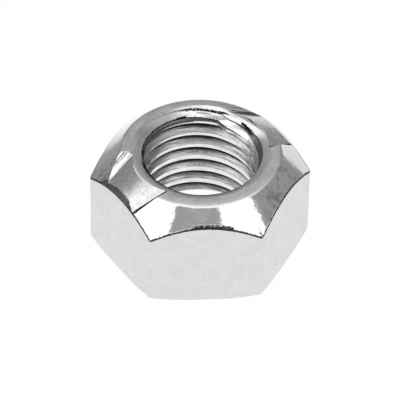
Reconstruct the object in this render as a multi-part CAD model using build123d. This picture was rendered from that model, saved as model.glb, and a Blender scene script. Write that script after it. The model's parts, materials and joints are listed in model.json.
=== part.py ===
from build123d import *
from build123d.topology import SkipClean
from math import ceil, cos, radians, sin, sqrt, tan
import os

# All-metal lock nut, one piece: a hexagon nut whose upper end is a cone with a
# flat ring on top. Two crimps, opposite each other, are pressed into the cone and
# push the mouth of the thread inwards, so that the nut grips its bolt.
# The bearing face stands on Z = 0 and the bore is on Z. Lengths in mm, angles in degrees.

# Hexagon
sides = 6
across_flats = 24.0
height = 14.1
corner_radius = 0.15

# Turned ends: the bearing face below, the cone and its flat ring above
bearing_diameter = 24.2
bearing_slope = 20.0
ring_diameter = 19.9
cone_slope = 45.0
ring_edge_radius = 0.5

# Coarse metric thread, right-handed. At the start angle a root lies level with
# the bearing face.
thread_diameter = 16.0
thread_pitch = 2.0
thread_angle = 60.0
thread_start_angle = 90.0
crest_flat = thread_pitch / 4
root_flat = thread_pitch / 8

# Upper mouth of the thread: a soft rim, a shallow cone and a steep flare below it
upper_mouth_diameter = 16.5
upper_mouth_slope = 30.0
rim_radius = 1.8
flare_width = 0.97
flare_draft = 30.0

# Lower mouth of the thread: a plain countersink in the bearing face
lower_mouth_diameter = 17.0
lower_mouth_slope = 45.0

# Crimps: each has a rounded floor that leans outwards. The floor's lip on the ring
# ends at the half width on both sides. One end wall drags outwards from there, the
# other runs nearly straight out. Their turns are measured from the crimp's centre line.
crimp_angle = 30.0
crimp_bite = 1.05
crimp_half_width = 3.8
crimp_floor_slope = 29.5
crimp_floor_radius = 11.5
dragged_end_turn = 50.0
dragged_end_slope = 35.0
straight_end_turn = 6.6
straight_end_slope = 60.0
crimp_push = 0.45
push_half_angle = 32.0

# Room that a cutter has beyond the surface that it cuts, how far the largest cutters
# reach, and how many pieces make one turn of the bore and of the groove round it
clear = 1.0
reach = 2 * across_flats
pieces_per_turn = 4
piece_angle = 360 / pieces_per_turn


def hexagon_bar():
    """The bar that the nut is made from, with two of its flats square to Y."""
    outline = RegularPolygon(across_flats / 2, sides, major_radius=False)
    outline = fillet(outline.vertices(), corner_radius)
    return extrude(outline, height)


def turned_ends():
    """What turning leaves of the bar: bearing chamfer, cone and rounded ring."""
    outside = across_flats / 2 / cos(radians(180 / sides)) + clear
    bearing_rise = (outside - bearing_diameter / 2) * tan(radians(bearing_slope))
    cone_drop = (outside - ring_diameter / 2) * tan(radians(cone_slope))
    profile = Polyline(
        (0, 0),
        (bearing_diameter / 2, 0),
        (outside, bearing_rise),
        (outside, height - cone_drop),
        (ring_diameter / 2, height),
        (0, height),
        close=True,
    )
    section = make_face(profile)
    ring_edge = section.vertices().sort_by_distance((ring_diameter / 2, height, 0))[0]
    section = fillet(ring_edge, ring_edge_radius)
    return revolve(Plane.XZ * section, Axis.Z)


def mouth_cutter(radius):
    """A round cutter with its rim at Z = 0, above its cone and flare, that softens the rim it cuts."""
    flare_radius = radius - flare_width
    flare_top = -flare_width * tan(radians(upper_mouth_slope))
    flare_tip = flare_top - flare_radius / tan(radians(flare_draft))
    profile = Polyline(
        (0, flare_tip),
        (flare_radius, flare_top),
        (radius, 0),
        (radius + clear, 0),
        (radius + clear, clear),
        (0, clear),
        close=True,
    )
    section = make_face(profile)
    rim = section.vertices().sort_by_distance((radius, 0, 0))[0]
    section = fillet(rim, rim_radius)
    return revolve(Plane.XZ * section, Axis.Z)


def upper_mouth():
    """The upper mouth, which the crimps have pushed in on two sides.

    Each pushed side is a piece of a wider mouth. It meets the round one at
    push_half_angle on both sides of its crimp.
    """
    radius = upper_mouth_diameter / 2
    pushed = radius - crimp_push
    side = radius * sin(radians(push_half_angle))
    drop = pushed - radius * cos(radians(push_half_angle))
    wide_radius = (side**2 + drop**2) / (2 * drop)
    wide = Pos(pushed - wide_radius, 0, 0) * mouth_cutter(wide_radius)
    mouth = mouth_cutter(radius) & wide & mirror(wide, about=Plane.YZ)
    return Pos(0, 0, height) * Rot(0, 0, crimp_angle) * mouth


def lower_mouth():
    """The lower mouth, as a cone that narrows upwards to a point."""
    slope = tan(radians(lower_mouth_slope))
    depth = lower_mouth_diameter / 2 * slope + clear
    cone = Cone(depth / slope, 0, depth, align=(Align.CENTER, Align.CENTER, Align.MIN))
    return Pos(0, 0, -clear) * cone


def minor_radius():
    """Radius of the thread's crests, from the flats that the flanks leave."""
    flank_width = (thread_pitch - crest_flat - root_flat) / 2
    return thread_diameter / 2 - flank_width / tan(radians(thread_angle / 2))


def minor_bore():
    """The hole that is tapped, in pieces that each leave a strip of its wall."""
    piece = Cylinder(
        minor_radius(),
        height + 2 * clear,
        arc_size=piece_angle,
        align=(Align.NONE, Align.NONE, Align.MIN),
    )
    return [Pos(0, 0, -clear) * Rot(0, 0, turn * piece_angle) * piece for turn in range(pieces_per_turn)]


def thread_groove():
    """The helical groove that the tap cuts, one turn longer than the nut at each end."""
    flank = tan(radians(thread_angle / 2))
    outer = thread_diameter / 2
    inner = minor_radius() - crest_flat / 2
    outer_half = root_flat / 2
    inner_half = outer_half + (outer - inner) * flank
    corners = [
        (inner, -inner_half),
        (outer, -outer_half),
        (outer, outer_half),
        (inner, inner_half),
    ]
    pieces = pieces_per_turn * (ceil(height / thread_pitch) + 2)
    rise = thread_pitch / pieces_per_turn
    faces = []
    for piece in range(pieces):
        level = piece * rise - thread_pitch
        lines = [
            Edge.make_helix(thread_pitch, rise, radius, center=(0, 0, level + offset))
            for radius, offset in corners
        ]
        turned = Rot(0, 0, thread_start_angle + piece * piece_angle)
        for line, following in zip(lines, lines[1:] + lines[:1]):
            faces.append(turned * Face.make_surface_from_curves(line, following))
    for piece in (0, pieces):
        level = piece * rise - thread_pitch
        end = Wire.make_polygon([(radius, 0, level + offset) for radius, offset in corners])
        faces.append(Rot(0, 0, thread_start_angle + piece * piece_angle) * Face(end))
    return Solid(Shell(faces))


def above_end(side, turn, slope):
    """The space above one end wall of a crimp, on its left (1) or its right side (-1).

    The wall starts where the floor's lip ends, and rises away from the crimp.
    """
    sagitta = crimp_floor_radius - sqrt(crimp_floor_radius**2 - crimp_half_width**2)
    lip = ring_diameter / 2 - crimp_bite - sagitta / sin(radians(crimp_floor_slope))
    level = sin(radians(slope))
    upwards = (
        level * sin(radians(turn)),
        -side * level * cos(radians(turn)),
        cos(radians(slope)),
    )
    wall = Plane(origin=(lip, side * crimp_half_width, 0), z_dir=upwards)
    return wall * Box(reach, reach, reach, align=(Align.CENTER, Align.CENTER, Align.MIN))


def crimp():
    """What one crimp presses away, on the +X side, with the top of the nut at Z = 0."""
    dragged = above_end(1, dragged_end_turn, dragged_end_slope)
    straight = above_end(-1, straight_end_turn, straight_end_slope)
    lean = Rot(0, 90 + crimp_floor_slope, 0)
    floor = lean * Pos(crimp_floor_radius, 0, 0) * Cylinder(crimp_floor_radius, reach)
    floor = Pos(ring_diameter / 2 - crimp_bite, 0, 0) * floor
    return (dragged & straight) - floor


def both_crimps():
    """The two crimps. The second is the first in a mirror, on the opposite side."""
    pressed = crimp() + mirror(crimp(), about=Plane.YZ)
    return Pos(0, 0, height) * Rot(0, 0, crimp_angle) * pressed


def lock_nut():
    nut = hexagon_bar() & turned_ends()
    nut = nut - upper_mouth() - lower_mouth() - both_crimps()
    # Left as separate strips, the crests each keep a wall that can be measured.
    with SkipClean():
        for piece in minor_bore():
            nut = nut - piece
        return nut - thread_groove()


nut = lock_nut()
nut.label = "lock_nut"
os.makedirs("parts", exist_ok=True)
export_step(nut, "parts/lock_nut.step")
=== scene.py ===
import json
from math import atan2, cos, degrees, pi, radians, sin, sqrt, tan

import bmesh
import bpy
from mathutils import Matrix, Vector


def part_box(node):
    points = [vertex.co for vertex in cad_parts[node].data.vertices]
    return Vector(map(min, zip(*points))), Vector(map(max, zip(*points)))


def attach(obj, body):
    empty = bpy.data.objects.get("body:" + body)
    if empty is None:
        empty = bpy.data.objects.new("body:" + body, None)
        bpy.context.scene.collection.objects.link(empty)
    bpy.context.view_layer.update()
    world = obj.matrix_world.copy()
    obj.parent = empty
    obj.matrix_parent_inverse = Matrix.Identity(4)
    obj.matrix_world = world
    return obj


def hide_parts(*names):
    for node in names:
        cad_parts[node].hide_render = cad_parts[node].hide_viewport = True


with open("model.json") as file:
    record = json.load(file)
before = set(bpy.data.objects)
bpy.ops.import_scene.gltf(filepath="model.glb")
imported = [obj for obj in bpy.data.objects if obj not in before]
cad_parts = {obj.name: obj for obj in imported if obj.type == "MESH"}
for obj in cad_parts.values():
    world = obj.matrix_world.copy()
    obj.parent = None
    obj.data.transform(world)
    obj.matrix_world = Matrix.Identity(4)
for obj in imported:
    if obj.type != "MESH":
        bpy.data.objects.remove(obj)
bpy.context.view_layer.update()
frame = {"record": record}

# All-metal lock nut: the frame's one solid, made again as a finer mesh with rounded
# edges and squeezed turns, and given its zinc-plated finishes with their torn edges.
# The frame is in metres, and its sizes are written in millimetres times MM. The
# materials work in plain millimetres.
MM = 0.001
BODY = "root"
NODE = "lock_nut"

# Sizes that the frame gives
lowest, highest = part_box(NODE)
HEIGHT = highest.z
ACROSS_FLATS = highest.y - lowest.y
ACROSS_CORNERS = ACROSS_FLATS / cos(pi / 6)
bore = next(mount for mount in frame["record"]["mounts"] if mount["name"] == "thread")
BORE_RADIUS = bore["dims"]["r_mm"] * MM

# Sizes of the outside. The ring is a little crowned, and a pressed lip is rounded less
# at the ring than at the cone.
CORNER_RADIUS = 0.5 * MM
BEARING_RADIUS = 12.1 * MM
BEARING_SLOPE = radians(20)
RING_RADIUS = 9.95 * MM
RING_EDGE_RADIUS = 0.7 * MM
RING_CROWN = radians(3)
RING_CROWN_RADIUS = 8.7 * MM
EDGE_ROUNDING = 0.12 * MM
ARC_ROUNDING = 0.08 * MM
CRIMP_ROUNDING = 0.16 * MM
LIP_ROUNDING = 0.11 * MM

# How finely the outside is cut, and how far a round tool is turned, so that its points
# miss those of the blank
FLAT_CUTS = 59
ROUND_STEPS = 360
OFF_AXIS = radians(0.37)

# How far a tool reaches past the nut, and how close points may be before they merge: in
# a raised mesh, in a screwed one, and in one that is being cut
BAR_SPARE = 1.0 * MM
SNAP = 0.0001 * MM
WELD = 0.001 * MM
SLIVER = 0.002 * MM

# The bend of an edge that counts as sharp, and of one that isn't shaded smooth
SHARP = radians(12)
CREASE = radians(30)

# The height of a face's normal above which it is on the cone, and on the ring, and how
# near to 1 the product of two normals is when they point the same way
CONE_NORMAL = 0.1
RING_NORMAL = 0.93
ALIGNED = 0.999

# Sizes of the thread. The crests are rubbed back from the solid's bore. The roots are
# torn, and so is a narrow band of the flank below each. The screw starts some turns
# below the bearing face, and has spare ones, so that both its ends are cut off.
PITCH = 2.0 * MM
CREST_WEAR = 0.12 * MM
CREST_RADIUS = BORE_RADIUS + CREST_WEAR
ROOT_RADIUS = 8.0 * MM
FLANK_ANGLE = radians(30)
ROOT_FLAT = PITCH / 8
THREAD_START = radians(90)
THREAD_STEPS = 240
TURNS_BELOW = 2
SPARE_TURNS = 5
THREAD_EDGE = 0.02 * MM
ROOT_TEAR = 0.04 * MM

# Sizes of the upper mouth. Its rim slopes more behind than in front, and changes over
# between two sines of the angle round the axis.
RIM_RADIUS = 8.8 * MM
RIM_SLOPES = (radians(3), radians(15))
RIM_TURN = (-0.4, 0.3)
RIM_EDGE = 1.0 * MM
UPPER_MOUTH_RADIUS = 8.2 * MM
FLARE_RADIUS = 7.30 * MM
FLARE_DEPTH = 0.56 * MM
FLARE_DRAFT = radians(27)
FLARE_EDGE = 0.1 * MM

# Sizes of the lower mouth
LOWER_MOUTH_RADIUS = 8.5 * MM
LOWER_MOUTH_SLOPE = radians(45)
LOWER_MOUTH_EDGE = 0.12 * MM

# The crimps' angles, on which side of each its dragged end is, and their sizes
CRIMPS = ((30, 1), (210, -1))
CRIMP_BITE = 1.05 * MM
CRIMP_HALF_WIDTH = 3.8 * MM
CRIMP_FLOOR_SLOPE = radians(29.5)
CRIMP_FLOOR_RADIUS = 11.5 * MM
CRIMP_SAGITTA = CRIMP_FLOOR_RADIUS - sqrt(CRIMP_FLOOR_RADIUS**2 - CRIMP_HALF_WIDTH**2)
CRIMP_LIP = RING_RADIUS - CRIMP_BITE - CRIMP_SAGITTA / sin(CRIMP_FLOOR_SLOPE)

# Each end wall: how far it stands from the crimp's centre line at the lip, by how much
# it turns outwards from that line, and its slope
DRAGGED_END = (4.5 * MM, radians(58), radians(27))
STRAIGHT_END = (3.98 * MM, radians(6.6), radians(60))

# How far each crimp has pushed the mouth in, and how far that has pushed the side
# between them out. Each push starts at its first angle, is full between the next two,
# and ends at the last. None is felt deeper than the reach.
PUSHES = (
    (0.65 * MM, 12, 44, 56, 71),
    (0.08 * MM, 176, 186, 198, 222),
    (-0.12 * MM, 228, 258, 300, 335),
)
PUSH_REACH = 4.6 * MM

# Spacing of the tools' marks in mm. Real ones are some hundredths apart, too fine to
# show in the render, so they are drawn this coarse.
SCORE_SPACING = 0.25
TAP_MARK_SPACING = 0.2

# On the dragged walls, in mm: the direction across their marks, as shares outwards,
# sideways and upwards, the places of two dark scores across it with half their widths,
# and where the far wall's lens of painted shade ends
DRAG_ACROSS = (0.28, 0.885, 0.193)
DRAG_SCORES = ((7.69, 0.03), (7.93, 0.06))
SHADE_LENS_EDGE = 7.1

# How fast the painted shade at the foot of a straight end wall widens outwards
FOOT_SPREAD = 0.04

# In the torn mouth, in mm: the radius of the torn, partly shaded line and of the wide
# painted shade that it ends in, and how fast the flare's edge falls with the thread's last turn
TORN_AND_SHADED_LINE_RADIUS = ROOT_RADIUS / MM + 0.2
CAVITY_SHADE_RADIUS = 7.55
LAST_TURN_FALL = 0.0625


def select_nothing():
    bpy.ops.object.select_all(action="DESELECT")


def work_on(piece):
    """Makes piece the one selected object."""
    select_nothing()
    piece.select_set(True)
    bpy.context.view_layer.objects.active = piece


def new_piece(name, material):
    """Names the primitive just added, gives it its finish and puts its place in its mesh."""
    piece = bpy.context.object
    piece.name = name
    piece.data.materials.append(material)
    bpy.ops.object.transform_apply(location=True, rotation=True, scale=True)
    return piece


def edges_where(piece, test):
    """Opens piece in edit mode with only those edges selected that pass the test."""
    work_on(piece)
    bpy.ops.object.mode_set(mode="EDIT")
    bpy.ops.mesh.select_mode(type="EDGE")
    bpy.ops.mesh.select_all(action="DESELECT")
    mesh = bmesh.from_edit_mesh(piece.data)
    for edge in mesh.edges:
        edge.select = test(edge)
    mesh.select_flush_mode()
    bmesh.update_edit_mesh(piece.data)


def leave_edit():
    bpy.ops.object.mode_set(mode="OBJECT")


def tidy_mesh(piece, distance):
    """Merges doubles and turns all faces outwards."""
    work_on(piece)
    bpy.ops.object.mode_set(mode="EDIT")
    bpy.ops.mesh.select_all(action="SELECT")
    bpy.ops.mesh.remove_doubles(threshold=distance)
    bpy.ops.mesh.normals_make_consistent(inside=False)
    leave_edit()


def apply_modifier(piece, kind, **settings):
    """Adds a modifier with these settings and applies it at once."""
    work_on(piece)
    modifier = piece.modifiers.new(kind.lower(), kind)
    for name, value in settings.items():
        setattr(modifier, name, value)
    bpy.ops.object.modifier_apply(modifier=modifier.name)


def carve(piece, tool):
    """Cuts piece with tool, which is used up. The cut has the finish of the tool."""
    apply_modifier(
        piece,
        "BOOLEAN",
        operation="DIFFERENCE",
        object=tool,
        solver="EXACT",
        material_mode="TRANSFER",
    )
    bpy.data.objects.remove(tool)


def colour(text):
    """sRGB hex to the linear colour that a shader takes."""
    parts = [int(text[i : i + 2], 16) / 255 for i in (1, 3, 5)]
    return (*[c / 12.92 if c <= 0.04045 else ((c + 0.055) / 1.055) ** 2.4 for c in parts], 1)


def output_of(source):
    """What a link starts from: a node's first output in use, or the source as it is."""
    if isinstance(source, bpy.types.Node):
        return next(output for output in source.outputs if output.enabled)
    return source


def node(tree, kind, inputs=None, **settings):
    """Adds a node. An input is a value, a colour in hex, another node, or one output of it."""
    made = tree.nodes.new(kind)
    for name, value in settings.items():
        setattr(made, name, value)
    for name, value in (inputs or {}).items():
        value = output_of(value)
        if isinstance(value, bpy.types.NodeSocket):
            tree.links.new(value, made.inputs[name])
        else:
            made.inputs[name].default_value = colour(value) if isinstance(value, str) else value
    return made


def plated(name):
    """A new metal: the material, its node tree, and the place on the nut in mm."""
    material = bpy.data.materials.new(name)
    material.use_nodes = True
    tree = material.node_tree
    tree.nodes["Principled BSDF"].inputs["Metallic"].default_value = 1
    coordinates = node(tree, "ShaderNodeTexCoord").outputs["Object"]
    place = node(tree, "ShaderNodeVectorMath", {0: coordinates, "Scale": 1 / MM}, operation="SCALE")
    return material, tree, place


def dress(material, base, roughness, relief):
    """Gives a metal its colour, its roughness and its relief in mm."""
    tree = material.node_tree
    shader = tree.nodes["Principled BSDF"]
    bump = node(tree, "ShaderNodeBump", {"Height": relief, "Distance": MM})
    for name, value in (("Base Color", base), ("Roughness", roughness), ("Normal", bump)):
        tree.links.new(output_of(value), shader.inputs[name])
    return material


def patches(tree, place, size, low, high, stretch=(1, 1, 1), depth=0):
    """Irregular patches of this size in mm, as a value from low to high.

    A stretch under 1 lengthens them along that axis. depth is a fourth coordinate.
    The plate's own grain is of some microns, too fine to show in the render, so the
    smallest patches here, of 0.2 to 0.4 mm, are drawn as coarse as it takes to show.
    """
    share = [axis / size for axis in stretch]
    moved = node(tree, "ShaderNodeVectorMath", {0: place, 1: share}, operation="MULTIPLY")
    inputs = {"Vector": moved, "W": depth, "Scale": 1, "Detail": 3, "Roughness": 0.6}
    noise = node(tree, "ShaderNodeTexNoise", inputs, noise_dimensions="4D")
    # The noise seldom leaves 0.3 to 0.7
    spread = {"Value": noise, "From Min": 0.3, "From Max": 0.7, "To Min": low, "To Max": high}
    return node(tree, "ShaderNodeMapRange", spread)


def region(tree, *limits):
    """Where all limits hold, from 0 to 1.

    A limit is a value, mostly a place on the nut in mm, with the one at which the share
    is none and the one at which it is full.
    """
    share = 1
    for value, none, full in limits:
        inputs = {"Value": value, "From Min": none, "From Max": full, "To Max": share}
        share = node(tree, "ShaderNodeMapRange", inputs, interpolation_type="SMOOTHSTEP")
    return share


def summed(tree, *patterns, start=0):
    """Adds up patterns, each given with its share."""
    total = start
    for pattern, share in patterns:
        total = node(tree, "ShaderNodeMath", {0: pattern, 1: share, 2: total}, operation="MULTIPLY_ADD")
    return total


def layered(tree, tone, *layers):
    """A tone that gives way to each layer's tone where that layer's share is 1."""
    for share, over in layers:
        tone = node(tree, "ShaderNodeMix", {"Factor": share, "A": tone, "B": over}, data_type="RGBA")
    return tone


def from_axis(tree, place):
    """How far a place is from the thread's axis, in mm."""
    level = node(tree, "ShaderNodeVectorMath", {0: place, 1: (1, 1, 0)}, operation="MULTIPLY")
    return node(tree, "ShaderNodeVectorMath", {0: level}, operation="LENGTH")


def from_flats(tree, place):
    """How far a place is inside the nearest of the six flats, in mm."""
    widest = 0
    for turn in (30, 90, 150):
        outwards = (cos(radians(turn)), sin(radians(turn)), 0)
        along = node(tree, "ShaderNodeVectorMath", {0: place, 1: outwards}, operation="DOT_PRODUCT")
        along = node(tree, "ShaderNodeMath", {0: along}, operation="ABSOLUTE")
        widest = node(tree, "ShaderNodeMath", {0: widest, 1: along}, operation="MAXIMUM")
    return summed(tree, (widest, -1), start=ACROSS_FLATS / 2 / MM)


def from_crimps(tree, place, outwards, sideways, upwards):
    """A place's coordinate along a direction of the crimps, in mm.

    The direction goes outwards from the axis, sideways to the dragged ends, and upwards.
    It is counted from where the lip meets a straight end wall.
    """
    turn = radians(CRIMPS[0][0])
    centre_line = (cos(turn), sin(turn), 0)
    to_drag = (-sin(turn), cos(turn), 0)
    out = node(tree, "ShaderNodeVectorMath", {0: place, 1: centre_line}, operation="DOT_PRODUCT")
    out = node(tree, "ShaderNodeMath", {0: out}, operation="ABSOLUTE")
    across = node(tree, "ShaderNodeVectorMath", {0: place, 1: to_drag}, operation="DOT_PRODUCT")
    up = node(tree, "ShaderNodeSeparateXYZ", {0: place}).outputs["Z"]
    corner = (CRIMP_LIP * outwards - CRIMP_HALF_WIDTH * sideways + HEIGHT * upwards) / MM
    return summed(tree, (out, outwards), (across, sideways), (up, upwards), start=-corner)


def from_straight_end(tree, place):
    """How far a place is from the foot of a crimp's straight end wall, in mm."""
    half_width, turn, slope = STRAIGHT_END
    outwards = sin(slope) * sin(turn) - FOOT_SPREAD
    sideways = sin(slope) * cos(turn)
    off_wall = from_crimps(tree, place, outwards, sideways, cos(slope))
    return summed(tree, (off_wall, 1), start=(half_width - CRIMP_HALF_WIDTH) * sideways / MM)


def zinc_flat():
    """Bright zinc plate on a cold-formed flat: satin, with soft mottles and faint level scratches."""
    material, tree, place = plated("zinc_plated_flat")
    clouds = patches(tree, place, 2.2, 0, 1)
    mottles = patches(tree, place, 0.6, 0, 1)
    scratches = patches(tree, place, 0.3, 0, 1, stretch=(0.15, 0.15, 1))
    share = summed(tree, (clouds, 0.4), (mottles, 0.45), (scratches, 0.15))
    # The burr hangs over the flats' upper edges as a thin dark line
    axes = node(tree, "ShaderNodeSeparateXYZ", {0: place})
    y, z = axes.outputs["Y"], axes.outputs["Z"]
    radius = from_axis(tree, place)
    cone = (HEIGHT + RING_RADIUS) / MM
    below_cone = summed(tree, (radius, -1), (z, -1), (mottles, 0.06), start=cone)
    line = region(tree, (below_cone, 0.20, 0.12), (y, 6, 0), (z, 8, 9))
    base = layered(tree, "#D6D6D6", (share, "#EAEAEA"), (line, "#484848"))
    roughness = patches(tree, place, 0.8, 0.28, 0.42)
    relief = summed(tree, (mottles, 0.003), (scratches, 0.001))
    return dress(material, base, roughness, relief)


def zinc_cone():
    """Bright zinc plate on the turned cone: nearly a mirror, with a torn burr along the flats and painted
    shade at the foot of the near crimp's straight end.
    """
    material, tree, place = plated("zinc_plated_cone")
    axes = node(tree, "ShaderNodeSeparateXYZ", {0: place})
    x, y, z = (axes.outputs[name] for name in "XYZ")
    inside = from_flats(tree, place)
    # The streaks run down the cone, so they follow directions from the axis, and their
    # size is a share of the distance
    radial = node(tree, "ShaderNodeVectorMath", {0: place}, operation="NORMALIZE")
    streaks = patches(tree, radial, 0.05, 0, 1, stretch=(1, 1, 0.1))
    grain = patches(tree, place, 0.35, 0, 1)
    waves = patches(tree, place, 2.2, 0, 1)
    jagged = patches(tree, place, 0.2, 0, 1)
    right = region(tree, (x, 6, 9), (y, 1, -2), (streaks, 0.3, 1))
    left = region(tree, (x, -7, -9.5), (y, 2, -1), (streaks, 0.2, 1))
    marks = node(tree, "ShaderNodeMath", {0: right, 1: left}, operation="MAXIMUM")
    # The burr is thin along the arcs, thicker in the middle of the front one, and wide
    # where the near crimp leaves only a strip of the cone
    middle = region(tree, (x, -2.1, -1.4), (x, 3.6, 3.1), (z, 11.3, 11.6), (y, 1, 0))
    lumps = region(tree, (jagged, 0.25, 0.45), (middle, 0, 1))
    sideways = from_crimps(tree, place, 0, 1, 0)
    strip = region(tree, (sideways, 0.9, 3.2), (sideways, 8.4, 7.6), (x, -5, -6), (y, 1, 0))
    ragged = summed(tree, (jagged, 1.2), start=0.3)
    width = summed(tree, (region(tree, (y, 6, 0)), 0.11), start=0.02)
    width = node(tree, "ShaderNodeMath", {0: width, 1: ragged}, operation="MULTIPLY")
    strip_lumps = region(tree, (jagged, 0, 1), (strip, 0, 1))
    width = summed(tree, (strip, 0.5), (strip_lumps, 0.14), (width, 1))
    width = summed(tree, (middle, 0.10), (lumps, 0.14), (width, 1))
    burr = region(tree, (summed(tree, (inside, -1), (width, 1)), -0.04, 0.04))
    # Painted shade along the foot of the near crimp's straight end wall, in the torn steel's tones
    off_foot = node(tree, "ShaderNodeMath", {0: from_straight_end(tree, place)}, operation="ABSOLUTE")
    foot = region(tree, (off_foot, 0.16, 0.10), (inside, 0.6, 0.5), (y, 0, -1))
    torn_and_shaded = node(tree, "ShaderNodeMath", {0: burr, 1: foot}, operation="MAXIMUM")
    pale = region(tree, (strip, 0, 1), (jagged, 0.1, 0.8))
    steel = layered(tree, "#282828", (grain, "#505050"), (pale, "#8A8A8A"))
    # Darker at the right of the cone, fading out towards the front
    darker_patch = region(tree, (x, 8, 11), (y, -3, 0))
    base = layered(tree, "#EFEFEF", (marks, "#B0B0B0"), (darker_patch, "#D6D6D6"), (torn_and_shaded, steel))
    roughness = summed(tree, (grain, 0.05), (torn_and_shaded, 0.3), (marks, 0.15), start=0.06)
    relief = summed(tree, (grain, 0.002), (waves, 0.012), (marks, 0.004), (torn_and_shaded, 0.02))
    return dress(material, base, roughness, relief)


def zinc_ring():
    """Zinc plate on the cut end of the bar: dull and grey, with a fine grain."""
    material, tree, place = plated("zinc_plated_ring")
    grain = patches(tree, place, 0.3, 0, 1)
    clouds = patches(tree, place, 1.6, 0, 1)
    share = summed(tree, (grain, 0.6), (clouds, 0.4))
    base = layered(tree, "#BCBCBC", (share, "#EEEEEE"))
    roughness = summed(tree, (grain, 0.12), (clouds, 0.06), start=0.3)
    return dress(material, base, roughness, summed(tree, (grain, 0.008)))


def zinc_crimp():
    """Zinc plate on a pressed floor: glossy, with soft mottles, and painted shade in the foot of its
    straight end.
    """
    material, tree, place = plated("zinc_plated_crimp")
    grain = patches(tree, place, 0.3, 0, 1)
    waves = patches(tree, place, 1.5, 0, 1)
    marks = patches(tree, place, 0.5, 0, 1, stretch=(0.4, 1, 0.4))
    off_wall = from_straight_end(tree, place)
    # Painted shade along the foot of the straight end wall
    foot = region(tree, (summed(tree, (grain, 0.08), (off_wall, 1)), 0.28, 0.20))
    share = summed(tree, (grain, 0.5), (marks, 0.5))
    base = layered(tree, "#C2C2C2", (share, "#E8E8E8"), (foot, "#303030"))
    roughness = summed(tree, (patches(tree, place, 0.6, 0.18, 0.34), 1), (foot, 0.2))
    return dress(material, base, roughness, summed(tree, (grain, 0.004), (waves, 0.015)))


def zinc_lip():
    """Zinc plate along a pressed lip: satin, so that it shines from most sides, and painted paler as a
    painted highlight.
    """
    material, tree, place = plated("zinc_plated_lip")
    grain = patches(tree, place, 0.3, 0, 1)
    # The paler tone is a painted highlight along the lip
    base = layered(tree, "#E8E8E8", (grain, "#FFFFFF"))
    return dress(material, base, summed(tree, (grain, 0.1), start=0.5), summed(tree, (grain, 0.003)))


def zinc_drag():
    """Zinc plate on a dragged wall: bright ridges and dark scores along it.

    The far wall has a lens of painted shade along its foot.
    """
    material, tree, place = plated("zinc_plated_drag")
    grain = patches(tree, place, 0.3, 0, 1)
    across = from_crimps(tree, place, *DRAG_ACROSS)
    outwards = from_crimps(tree, place, 1, 0, 0)
    scores = patches(tree, place, 4, 0, 1, depth=summed(tree, (across, 1 / SCORE_SPACING)))
    share = region(tree, (summed(tree, (scores, 0.8), (grain, 0.2)), 0.1, 0.6))
    base = layered(tree, "#707070", (share, "#FFFFFF"))
    for middle, half in DRAG_SCORES:
        off = node(tree, "ShaderNodeMath", {0: across, 1: middle}, operation="SUBTRACT")
        off = node(tree, "ShaderNodeMath", {0: off}, operation="ABSOLUTE")
        off = summed(tree, (grain, 0.06), (off, 1), start=-half)
        base = layered(tree, base, (region(tree, (off, 0.04, 0.01), (outwards, 2.9, 2.5)), "#484848"))
    # A lens of painted shade along the far wall's foot
    behind = node(tree, "ShaderNodeSeparateXYZ", {0: place}).outputs["Y"]
    lens = region(tree, (outwards, 0, 2.2), (outwards, 3.7, 2.9))
    off_shade_lens = summed(tree, (grain, 0.06), (lens, -0.4), (across, 1), start=-SHADE_LENS_EDGE)
    base = layered(tree, base, (region(tree, (off_shade_lens, 0.06, -0.04), (behind, 0, 1)), "#747474"))
    roughness = patches(tree, place, 0.5, 0.2, 0.34)
    return dress(material, base, roughness, summed(tree, (grain, 0.004), (scores, 0.03)))


def raw_edge():
    """Torn steel under thin plate: dark and rough, and paler to the left in the bore."""
    material, tree, place = plated("torn_steel")
    grain = patches(tree, place, 0.25, 0, 1)
    x = node(tree, "ShaderNodeSeparateXYZ", {0: place}).outputs["X"]
    in_bore = region(tree, (from_axis(tree, place), 8.3, 8.1))
    left = region(tree, (x, -1, -5))
    base = layered(tree, "#383838", (grain, "#787878"), (in_bore, "#646464"), (left, "#9A9A9A"))
    roughness = patches(tree, place, 0.4, 0.4, 0.6)
    return dress(material, base, roughness, summed(tree, (grain, 0.01)))


def torn_and_shaded_line(tree, place, radius):
    """A jagged dark line round the axis, partly torn steel where the thread's last turn has torn through the
    mouth and partly painted shade.

    It ends in a wide patch of painted shade, for the hollow under the rim on the side that the far crimp has
    squeezed.
    """
    axes = node(tree, "ShaderNodeSeparateXYZ", {0: place})
    x, y = axes.outputs["X"], axes.outputs["Y"]
    jagged = patches(tree, place, 0.22, 0, 1)
    # The line is partly torn steel and partly painted shade
    off_line = summed(tree, (x, 0.05), (radius, 1), start=-TORN_AND_SHADED_LINE_RADIUS)
    off_line = node(tree, "ShaderNodeMath", {0: off_line}, operation="ABSOLUTE")
    wide = region(tree, (x, -3.4, -1.2), (x, 4.2, 3.2))
    width = region(tree, (summed(tree, (jagged, 0.10), (wide, 0.13)), 0, 0.26), (jagged, 0.1, 0.5))
    line = region(tree, (summed(tree, (off_line, -1), (width, 0.24)), -0.02, 0.03), (y, 5.4, 6.2))
    # A wide patch of painted shade in the hollow under the squeezed rim
    off_cavity_shade = summed(tree, (radius, 1), start=-CAVITY_SHADE_RADIUS)
    off_cavity_shade = node(tree, "ShaderNodeMath", {0: off_cavity_shade}, operation="ABSOLUTE")
    off_cavity_shade = summed(tree, (jagged, 0.2), (off_cavity_shade, 1))
    cavity_shade = region(tree, (off_cavity_shade, 0.32, 0.24), (x, 5.3, 5.5), (x, 7.3, 6.8), (y, 3, 4))
    return node(tree, "ShaderNodeMath", {0: line, 1: cavity_shade}, operation="MAXIMUM")


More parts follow.
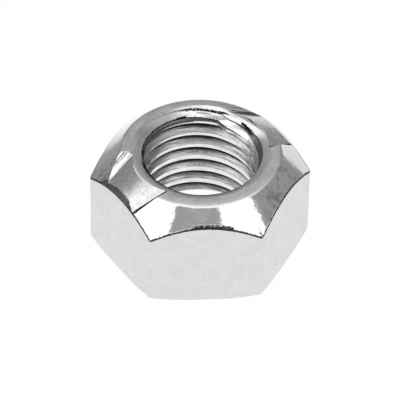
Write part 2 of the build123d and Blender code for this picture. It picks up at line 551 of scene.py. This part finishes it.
def zinc_mouth():
    """Zinc plate on the reamed mouth: bright, ringed by the tool, torn and painted with shade where the
    thread runs out.

    The flare's edge is dark, partly torn steel and partly painted shade, the near side has
    painted shade, the left side is darker and the far right one paler.
    """
    material, tree, place = plated("zinc_plated_mouth")
    axes = node(tree, "ShaderNodeSeparateXYZ", {0: place})
    x, y, z = (axes.outputs[name] for name in "XYZ")
    radius = from_axis(tree, place)
    rings = patches(tree, place, 3, 0, 1, depth=summed(tree, (radius, 1 / SCORE_SPACING)))
    jagged = patches(tree, place, 0.2, -0.05, 0.05)
    top = (HEIGHT - FLARE_DEPTH) / MM
    flare = region(tree, (summed(tree, (jagged, 1), (z, 1)), top + 0.02, top - 0.04), (z, 11, 12))
    # The flare's edge falls with the thread's last turn, and is torn most behind. Its dark
    # line is partly torn steel and partly painted shade.
    behind = region(tree, (x, -3.4, -2.2), (x, 4.4, 3.4), (y, 3, 4))
    falling = summed(tree, (x, -LAST_TURN_FALL), start=top - 0.10)
    edge_height = node(tree, "ShaderNodeMath", {0: falling, 1: top}, operation="MINIMUM")
    edge = summed(tree, (edge_height, -1), (z, 1), (jagged, 1.3))
    edge = node(tree, "ShaderNodeMath", {0: edge}, operation="ABSOLUTE")
    edge = region(tree, (summed(tree, (behind, -0.05), (edge, 1)), 0.07, 0.03), (x, 4.6, 3.6))
    # Painted shade on the near side of the mouth, inside the rim
    near_side_shade = summed(tree, (region(tree, (x, 0, 3)), 0.08), (radius, 1))
    near_side_shade = region(tree, (y, 0, -2), (near_side_shade, 7.68, 7.54), (z, 11, 12))
    # Darker at the back left of the mouth
    darker_patch = region(tree, (x, -1, -4), (y, 1.5, 5), (radius, 7.2, 7.4))
    dark = node(tree, "ShaderNodeMath", {0: edge, 1: near_side_shade}, operation="MAXIMUM")
    dark = node(tree, "ShaderNodeMath", {0: dark, 1: torn_and_shaded_line(tree, place, radius)}, operation="MAXIMUM")
    bright = region(tree, (x, -1, 3), (y, 2, 4), (radius, 7.2, 7.6))
    base = layered(
        tree,
        "#CCCCCC",
        (rings, "#FFFFFF"),
        (bright, "#FFFFFF"),
        (darker_patch, "#ACACAC"),
        (flare, "#B8B8B8"),
        (dark, "#1C1C1C"),
    )
    roughness = summed(tree, (rings, -0.1), (dark, 0.3), start=0.3)
    return dress(material, base, roughness, summed(tree, (rings, 0.02)))


def zinc_flank():
    """Zinc plate on the tapped flanks: grey, scored round the thread by the tap.

    The flanks are painted with shade towards their roots. The topmost turn lies open to the
    light and is painted brighter as painted light, and striped; on it the mouth's torn line,
    partly painted shade, ends in painted shade on the side that the far crimp has squeezed,
    and painted shade runs along its foot.
    """
    material, tree, place = plated("zinc_plated_flank")
    axes = node(tree, "ShaderNodeSeparateXYZ", {0: place})
    x, z = axes.outputs["X"], axes.outputs["Z"]
    radius = from_axis(tree, place)
    scores = patches(tree, place, 3, 0, 1, depth=summed(tree, (radius, 1 / TAP_MARK_SPACING)))
    grain = patches(tree, place, 0.3, 0, 1)
    topmost = region(tree, (summed(tree, (x, 0.055), (z, 1)), 12.95, 13.15))
    # Painted shade on each flank towards its root, where the turn above overhangs; none on the topmost turn
    root_shade = region(tree, (radius, 7.5, 7.95), (topmost, 1, 0))
    squeezed = region(tree, (radius, 7.1, 7.3), (x, 4.4, 5.4), (topmost, 0, 1))
    # Painted shade along the foot of the topmost flank, under the flare
    from_shaded_foot = summed(tree, (grain, 0.08), (x, 0.03), (radius, 1))
    foot = region(tree, (from_shaded_foot, 7.36, 7.31), (x, -2.2, -1.4), (x, 3.2, 2.2))
    torn_and_shaded = node(tree, "ShaderNodeMath", {0: torn_and_shaded_line(tree, place, radius), 1: foot}, operation="MAXIMUM")
    torn_and_shaded = region(tree, (torn_and_shaded, 0, 1), (topmost, 0, 1))
    share = summed(tree, (scores, 0.85), (grain, 0.15))
    plate = layered(tree, "#686868", (share, "#F0F0F0"))
    # The topmost turn's tone is painted brighter, as painted light from above
    bright = layered(tree, "#A4A4A4", (region(tree, (share, 0.2, 0.6)), "#FFFFFF"))
    base = layered(
        tree,
        plate,
        (root_shade, "#484848"),
        (topmost, bright),
        (squeezed, "#787878"),
        (torn_and_shaded, "#1C1C1C"),
    )
    roughness = patches(tree, place, 0.8, 0.24, 0.36)
    return dress(material, base, roughness, summed(tree, (scores, 0.03), (grain, 0.004)))


def zinc_crest():
    """Zinc plate on the crests: burnished bright by the tap, with a few dark pits."""
    material, tree, place = plated("zinc_plated_crest")
    grain = patches(tree, place, 0.4, 0, 1, stretch=(0.2, 0.2, 1))
    pits = region(tree, (patches(tree, place, 0.35, 0, 1), 0.92, 0.98))
    base = layered(tree, "#DCDCDC", (grain, "#FAFAFA"), (pits, "#404040"))
    roughness = patches(tree, place, 0.8, 0.1, 0.2)
    return dress(material, base, roughness, summed(tree, (grain, 0.002)))


def rounded(before, corner, after, radius, steps):
    """The points of an arc that rounds the corner of a section."""
    before, corner, after = Vector(before), Vector(corner), Vector(after)
    u, v = (before - corner).normalized(), (after - corner).normalized()
    half = u.angle(v) / 2
    centre = corner + (u + v).normalized() * radius / sin(half)
    first = (corner + u * radius / tan(half) - centre).normalized()
    last = (corner + v * radius / tan(half) - centre).normalized()
    return [tuple(centre + radius * first.slerp(last, step / steps)) for step in range(steps + 1)]


def raise_rings(piece, section):
    """Extrudes a ring of points once for each point of a section, and caps both ends.

    section takes the angle at which a point stands round the axis and gives the list
    of (radius, height) that its column goes through.
    """
    edges_where(piece, lambda edge: True)
    for level in range(len(section(0))):
        if level:
            bpy.ops.mesh.extrude_region_move()
        mesh = bmesh.from_edit_mesh(piece.data)
        for vertex in mesh.verts:
            if vertex.select:
                angle = atan2(vertex.co.y, vertex.co.x)
                radius, z = section(angle)[level]
                vertex.co = (radius * cos(angle), radius * sin(angle), z)
        bmesh.update_edit_mesh(piece.data)
    leave_edit()
    edges_where(piece, lambda edge: edge.is_boundary)
    bpy.ops.mesh.fill_holes(sides=0)
    leave_edit()
    tidy_mesh(piece, SNAP)
    return piece


def outline_radius(angle):
    """How far the bar's outline, with its rounded corners, is from the axis."""
    from_corner = abs((angle + pi / 6) % (pi / 3) - pi / 6)
    to_centre = (ACROSS_FLATS / 2 - CORNER_RADIUS) / cos(pi / 6)
    round_ends = atan2(CORNER_RADIUS / 2, to_centre + CORNER_RADIUS * cos(pi / 6))
    if from_corner < round_ends:
        across = to_centre * sin(from_corner)
        return to_centre * cos(from_corner) + (CORNER_RADIUS**2 - across**2) ** 0.5
    return ACROSS_FLATS / 2 / cos(pi / 6 - from_corner)


def blank_section(angle):
    """The blank's section: bearing face, chamfer, flat, cone and the edge of the ring."""
    wall = outline_radius(angle)
    bearing = min(BEARING_RADIUS, wall - EDGE_ROUNDING)
    chamfer_top = max((wall - BEARING_RADIUS) * tan(BEARING_SLOPE), EDGE_ROUNDING)
    cone_foot = HEIGHT - (wall - RING_RADIUS)
    drop = (RING_RADIUS - RING_CROWN_RADIUS) * tan(RING_CROWN) / (1 - tan(RING_CROWN))
    ring_edge = (RING_RADIUS + drop, HEIGHT - drop)
    return [
        (bearing, 0),
        *rounded((bearing, 0), (wall, chamfer_top), (wall, cone_foot), EDGE_ROUNDING, steps=2),
        *rounded((wall, chamfer_top), (wall, cone_foot), ring_edge, ARC_ROUNDING, steps=3),
        *rounded((wall, cone_foot), ring_edge, (RING_CROWN_RADIUS, HEIGHT), RING_EDGE_RADIUS, steps=6),
        (RING_CROWN_RADIUS, HEIGHT),
    ]


def blank(finish):
    """The nut before crimping and tapping, raised from the outline of its bar."""
    bpy.ops.mesh.primitive_circle_add(
        vertices=6, radius=ACROSS_CORNERS / 2, rotation=(0, 0, pi / 6)
    )
    piece = new_piece("lock_nut_mesh", finish["flat"])
    work_on(piece)
    bpy.ops.object.mode_set(mode="EDIT")
    bpy.ops.mesh.select_all(action="SELECT")
    bpy.ops.mesh.bevel(offset=CORNER_RADIUS * tan(pi / 6), segments=6, affect="VERTICES")
    leave_edit()
    edges_where(piece, lambda edge: edge.calc_length() > CORNER_RADIUS)
    bpy.ops.mesh.subdivide(number_cuts=FLAT_CUTS)
    leave_edit()
    raise_rings(piece, blank_section)
    for name in ("cone", "ring"):
        piece.data.materials.append(finish[name])
    for face in piece.data.polygons:
        if face.center.z > HEIGHT / 2 and face.normal.z > CONE_NORMAL:
            face.material_index = 2 if face.normal.z > RING_NORMAL else 1
    return piece


def soften(piece, floor, beside, width, slot):
    """Rounds the sharp edges between a pressed floor and the finishes beside it.

    The shortest of them are merged first. The rounding has the finish of slot.
    """

    def at_lip(edge):
        kinds = {face.material_index for face in edge.link_faces}
        sharp = len(edge.link_faces) == 2 and edge.calc_face_angle() > SHARP
        return sharp and floor in kinds and not kinds.isdisjoint(beside)

    edges_where(piece, at_lip)
    bpy.ops.mesh.remove_doubles(threshold=width / 2)
    leave_edit()
    edges_where(piece, at_lip)
    bpy.ops.mesh.bevel(offset=width, segments=2, affect="EDGES", clamp_overlap=False, material=slot)
    leave_edit()


def crimp_tool(angle, dragged_side, finish):
    """What one crimp presses away: between its two end walls, above a leaning floor."""
    reach = ACROSS_CORNERS
    bpy.ops.mesh.primitive_cube_add(
        size=1, scale=(reach, 2 * reach, reach), location=(reach / 2, 0, BAR_SPARE - reach / 2)
    )
    piece = new_piece("crimp", finish["crimp"])
    for wall, side, (half_width, turn, slope) in (
        ("drag", dragged_side, DRAGGED_END),
        ("edge", -dragged_side, STRAIGHT_END),
    ):
        level = sin(slope)
        upwards = Vector((level * sin(turn), -side * level * cos(turn), cos(slope)))
        edges_where(piece, lambda edge: True)
        bpy.ops.mesh.bisect(
            plane_co=(CRIMP_LIP, side * half_width, 0), plane_no=upwards,
            use_fill=True, threshold=SNAP, clear_inner=True,
        )
        leave_edit()
        piece.data.materials.append(finish[wall])
        for face in piece.data.polygons:
            if face.normal.dot(upwards) < -ALIGNED:
                face.material_index = len(piece.data.materials) - 1
    bpy.ops.mesh.primitive_cylinder_add(
        vertices=ROUND_STEPS, radius=CRIMP_FLOOR_RADIUS, depth=2 * reach, location=(0, 0, 0)
    )
    floor = new_piece("crimp_floor", finish["crimp"])
    start = Vector((RING_RADIUS - CRIMP_BITE, 0, 0))
    lean = Matrix.Rotation(pi / 2 + CRIMP_FLOOR_SLOPE, 4, "Y")
    floor.data.transform(
        Matrix.Translation(start) @ lean @ Matrix.Translation((CRIMP_FLOOR_RADIUS, 0, 0))
    )
    carve(piece, floor)
    piece.data.transform(
        Matrix.Translation((0, 0, HEIGHT)) @ Matrix.Rotation(radians(angle), 4, "Z")
    )
    return piece


def mouth_tool(section, material):
    """What a countersink cuts away, raised from its section at each angle."""
    bpy.ops.mesh.primitive_circle_add(
        vertices=ROUND_STEPS, radius=section(0)[0][0], rotation=(0, 0, OFF_AXIS)
    )
    return raise_rings(new_piece("mouth", material), section)


def upper_section(angle):
    """The upper countersink: a rim that slopes more behind, a cone and a steep flare."""
    wide = RIM_RADIUS + BAR_SPARE
    share = smooth_step(*RIM_TURN, sin(angle))
    slope = RIM_SLOPES[0] + (RIM_SLOPES[1] - RIM_SLOPES[0]) * share
    rim = (UPPER_MOUTH_RADIUS, HEIGHT - (RIM_RADIUS - UPPER_MOUTH_RADIUS) * tan(slope))
    seat = HEIGHT - FLARE_DEPTH
    foot = (FLARE_RADIUS - 2 * BAR_SPARE * tan(FLARE_DRAFT), seat - 2 * BAR_SPARE)
    return [
        foot,
        *rounded(foot, (FLARE_RADIUS, seat), rim, FLARE_EDGE, steps=3),
        *rounded((FLARE_RADIUS, seat), rim, (RIM_RADIUS, HEIGHT), RIM_EDGE, steps=4),
        *rounded(rim, (RIM_RADIUS, HEIGHT), (wide, HEIGHT), RIM_EDGE, steps=4),
        (wide, HEIGHT + SNAP),
        (wide, HEIGHT + BAR_SPARE),
    ]


def lower_section(angle):
    """The countersink in the bearing face, which is the same at every angle."""
    wide = LOWER_MOUTH_RADIUS + BAR_SPARE
    inner = LOWER_MOUTH_RADIUS - 3 * BAR_SPARE
    foot = (inner, 3 * BAR_SPARE * tan(LOWER_MOUTH_SLOPE))
    return [
        foot,
        *rounded(foot, (LOWER_MOUTH_RADIUS, 0), (wide, 0), LOWER_MOUTH_EDGE, steps=6),
        (wide, -SNAP),
        (wide, -BAR_SPARE),
    ]


def smooth_step(none, full, value):
    """How far a value is on its way from none to full, from 0 to 1, with soft ends."""
    share = max(0, min(1, (value - none) / (full - none)))
    return share * share * (3 - 2 * share)


def push_in(piece):
    """Pushes the mouth's sides in where the crimps have pressed the cone, and out between."""
    for vertex in piece.data.vertices:
        co = vertex.co
        down = smooth_step(PUSH_REACH, 0, HEIGHT - co.z)
        for depth, start, full, full_end, end in PUSHES:
            middle = (full + full_end) / 2
            turn = (degrees(atan2(co.y, co.x)) - middle + 180) % 360 - 180 + middle
            side = smooth_step(start, full, turn) * smooth_step(end, full_end, turn)
            # Points near the axis move less, so that none crosses it
            share = 1 - depth * side * down / max(co.xy.length, ROOT_RADIUS / 2)
            co.x, co.y = co.x * share, co.y * share


def tap(finish):
    """The thread as a solid: one pitch of its section, screwed and cut flat at both ends."""
    flank = (ROOT_RADIUS - CREST_RADIUS) * tan(FLANK_ANGLE)
    section = [
        (-PITCH / 2, CREST_RADIUS),
        (-ROOT_FLAT / 2 - flank, CREST_RADIUS),
        (-ROOT_FLAT / 2 - ROOT_TEAR * tan(FLANK_ANGLE), ROOT_RADIUS - ROOT_TEAR),
        (-ROOT_FLAT / 2, ROOT_RADIUS),
        (ROOT_FLAT / 2, ROOT_RADIUS),
        (ROOT_FLAT / 2 + flank, CREST_RADIUS),
        (PITCH / 2, CREST_RADIUS),
    ]
    # The points that are rounded a little: all but the ends and the edge of the tear
    corners = (1, 3, 4, 5)
    start = Vector((cos(THREAD_START), sin(THREAD_START), 0))
    foot = -TURNS_BELOW * PITCH
    points = [start * radius + Vector((0, 0, z + foot)) for z, radius in section]
    mesh = bpy.data.meshes.new("tap")
    mesh.from_pydata(points, [(i, i + 1) for i in range(len(points) - 1)], [])
    piece = bpy.data.objects.new("tap", mesh)
    bpy.context.collection.objects.link(piece)
    work_on(piece)
    bpy.ops.object.mode_set(mode="EDIT")
    bpy.ops.mesh.select_all(action="SELECT")
    outline = bmesh.from_edit_mesh(piece.data)
    for number, vertex in enumerate(outline.verts):
        vertex.select = number in corners
    bmesh.update_edit_mesh(piece.data)
    bpy.ops.mesh.bevel(offset=THREAD_EDGE, segments=2, affect="VERTICES")
    leave_edit()
    apply_modifier(
        piece,
        "SCREW",
        angle=2 * pi,
        screw_offset=PITCH,
        iterations=int(HEIGHT / PITCH) + SPARE_TURNS,
        steps=THREAD_STEPS,
        render_steps=THREAD_STEPS,
        use_merge_vertices=True,
        merge_threshold=WELD,
    )
    for name in ("flank", "crest", "edge"):
        piece.data.materials.append(finish[name])
    for face in piece.data.polygons:
        radii = [piece.data.vertices[i].co.xy.length for i in face.vertices]
        if max(radii) < CREST_RADIUS + THREAD_EDGE:
            face.material_index = 1
        elif min(radii) > ROOT_RADIUS - ROOT_TEAR - SNAP:
            face.material_index = 2
    for level, up in ((-BAR_SPARE, False), (HEIGHT + BAR_SPARE, True)):
        work_on(piece)
        bpy.ops.object.mode_set(mode="EDIT")
        bpy.ops.mesh.select_all(action="SELECT")
        bpy.ops.mesh.remove_doubles(threshold=SLIVER)
        bpy.ops.mesh.bisect(
            plane_co=(0, 0, level), plane_no=(0, 0, 1), use_fill=True, threshold=SNAP,
            clear_outer=up, clear_inner=not up,
        )
        leave_edit()
    tidy_mesh(piece, WELD)
    return piece


def lock_nut(finish):
    """The nut: a blank that is crimped, countersunk and tapped. Its lips are softened last."""
    piece = blank(finish)
    for angle, dragged_side in CRIMPS:
        carve(piece, crimp_tool(angle, dragged_side, finish))
    upper = mouth_tool(upper_section, finish["mouth"])
    push_in(upper)
    carve(piece, upper)
    carve(piece, mouth_tool(lower_section, finish["mouth"]))
    thread = tap(finish)
    push_in(thread)
    carve(piece, thread)
    piece.data.materials.append(finish["lip"])
    slots = {name: piece.data.materials.find(made.name) for name, made in finish.items()}
    soften(piece, slots["crimp"], {slots["ring"]}, LIP_ROUNDING, slots["lip"])
    soften(piece, slots["crimp"], {slots["flat"], slots["cone"]}, CRIMP_ROUNDING, slots["crimp"])
    # A softened lip may stand a hair above the ring, and stays within the nut's height
    for vertex in piece.data.vertices:
        vertex.co.z = min(vertex.co.z, HEIGHT)
    work_on(piece)
    bpy.ops.object.mode_set(mode="EDIT")
    bpy.ops.mesh.select_all(action="SELECT")
    bpy.ops.mesh.dissolve_degenerate(threshold=SLIVER)
    leave_edit()
    return piece


finish = {
    "flat": zinc_flat(),
    "cone": zinc_cone(),
    "ring": zinc_ring(),
    "crimp": zinc_crimp(),
    "lip": zinc_lip(),
    "drag": zinc_drag(),
    "edge": raw_edge(),
    "mouth": zinc_mouth(),
    "flank": zinc_flank(),
    "crest": zinc_crest(),
}
nut = lock_nut(finish)
work_on(nut)
bpy.ops.object.shade_smooth_by_angle(angle=CREASE)
apply_modifier(nut, "WEIGHTED_NORMAL", keep_sharp=True)
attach(nut, BODY)
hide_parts(NODE)

# The floor's white as the metal sees it: the direction in which it dims, the distances
# along it in metres at which it has dimmed and starts to, and what is left of it. A
# small share of the floor is plain paint, which keeps the nut's shadow.
DIM_TOWARDS = (-0.8, 0.6, 0)
DIMMED_AT, DIMS_FROM = 0.11, 0.02
DIMMED = 0.35
GLOWING_SHARE = 0.985


def floor_paint():
    """Plain pale paint that the camera sees as white, and the metal as white near the nut."""
    paint = bpy.data.materials.new("floor_paint")
    paint.use_nodes = True
    tree = paint.node_tree
    tree.nodes.clear()
    path = node(tree, "ShaderNodeLightPath")
    camera_ray, glossy_ray = path.outputs["Is Camera Ray"], path.outputs["Is Glossy Ray"]
    place = node(tree, "ShaderNodeTexCoord").outputs["Object"]
    along = node(tree, "ShaderNodeVectorMath", {0: place, 1: DIM_TOWARDS}, operation="DOT_PRODUCT")
    bright = region(tree, (along, DIMMED_AT, DIMS_FROM))
    strength = summed(tree, (bright, 1 - DIMMED), start=DIMMED)
    glow = node(tree, "ShaderNodeMath", {0: strength, 1: camera_ray}, operation="MAXIMUM")
    diffuse = node(tree, "ShaderNodeBsdfDiffuse", {"Color": "#F0F0F0"})
    white = node(tree, "ShaderNodeEmission", {"Color": "#FFFFFF", "Strength": glow})
    seen = node(tree, "ShaderNodeMath", {0: camera_ray, 1: glossy_ray}, operation="MAXIMUM")
    share = summed(tree, (seen, GLOWING_SHARE))
    mixed = node(tree, "ShaderNodeMixShader", {0: share, 1: diffuse, 2: white})
    node(tree, "ShaderNodeOutputMaterial", {"Surface": mixed})
    return paint


bpy.ops.mesh.primitive_plane_add(size=4, location=(0, 0, 0))
floor = bpy.context.object
floor.name = "floor"
floor.data.materials.append(floor_paint())

# How bright the studio is at each elevation in degrees, from its dark foot to its
# ceiling. The first two are the ends of the ramp.
SKY = ((-6, 0.30), (90, 1.1), (14, 0.32), (30, 0.32), (48.5, 0.36), (51, 1.0))


def studio():
    """Soft light from all round, grey as the metal sees it and white behind the nut."""
    world = bpy.data.worlds.new("studio")
    world.use_nodes = True
    tree = world.node_tree
    tree.nodes.clear()
    direction = node(tree, "ShaderNodeTexCoord").outputs["Generated"]
    upwards = node(tree, "ShaderNodeSeparateXYZ", {0: direction}).outputs["Z"]
    height = node(tree, "ShaderNodeMapRange", {"Value": upwards, "From Min": -1, "From Max": 1})
    sky = node(tree, "ShaderNodeValToRGB", {"Fac": height})
    levels = sky.color_ramp.elements
    for stop, (elevation, level) in enumerate(SKY):
        position = (sin(radians(elevation)) + 1) / 2
        made = levels[stop] if stop < 2 else levels.new(position)
        made.position = position
        made.color = (level, level, level, 1)
    camera_ray = node(tree, "ShaderNodeLightPath").outputs["Is Camera Ray"]
    shown = layered(tree, sky.outputs["Color"], (camera_ray, "#FFFFFF"))
    background = node(tree, "ShaderNodeBackground", {"Color": shown})
    node(tree, "ShaderNodeOutputWorld", {"Surface": background})
    return world


bpy.context.scene.world = studio()


def aim(thing, target, azimuth, elevation, distance, roll=0):
    """Puts a lamp or the camera this far from its target, at these angles in degrees, to face it."""
    turn, rise = radians(azimuth), radians(elevation)
    back = Vector((sin(turn) * cos(rise), -cos(turn) * cos(rise), sin(rise)))
    rolled = Matrix.Rotation(radians(roll), 3, "Z").to_quaternion()
    thing.location = target + back * distance
    thing.rotation_mode = "QUATERNION"
    thing.rotation_quaternion = back.to_track_quat("Z", "Y") @ rolled


# Both panels stand this high, in degrees, and this far from the nut, in metres
PANEL_ELEVATION = 42
PANEL_DISTANCE = 0.6


def panel(name, azimuth, width, height, power):
    """A soft box that shows in the cone as one of its two bright fields."""
    bpy.ops.object.light_add(type="AREA")
    lamp = bpy.context.object
    lamp.name = name
    lamp.data.shape = "RECTANGLE"
    lamp.data.size, lamp.data.size_y = width, height
    lamp.data.energy = power
    aim(lamp, Vector((0, 0, HEIGHT)), azimuth, PANEL_ELEVATION, PANEL_DISTANCE)


panel("left_panel", azimuth=-72.8, width=0.53, height=0.32, power=0.61)
panel("right_panel", azimuth=47.5, width=0.365, height=0.22, power=0.32)

# Camera: measured from the photograph's corners and circles, with its angles in degrees
CAMERA_AIM = Vector((-0.06, -1.018, 6.876)) * MM
CAMERA_AZIMUTH, CAMERA_ELEVATION, CAMERA_ROLL = -4.300, 42.306, 1.183
CAMERA_DISTANCE = 431.66 * MM
CAMERA_LENS = 309.43

bpy.ops.object.camera_add()
camera = bpy.context.object
camera.data.lens = CAMERA_LENS
camera.data.clip_start = 0.01
camera.data.clip_end = 20
aim(camera, CAMERA_AIM, CAMERA_AZIMUTH, CAMERA_ELEVATION, CAMERA_DISTANCE, CAMERA_ROLL)
bpy.context.scene.camera = camera

bpy.context.scene.view_settings.view_transform = "Standard"
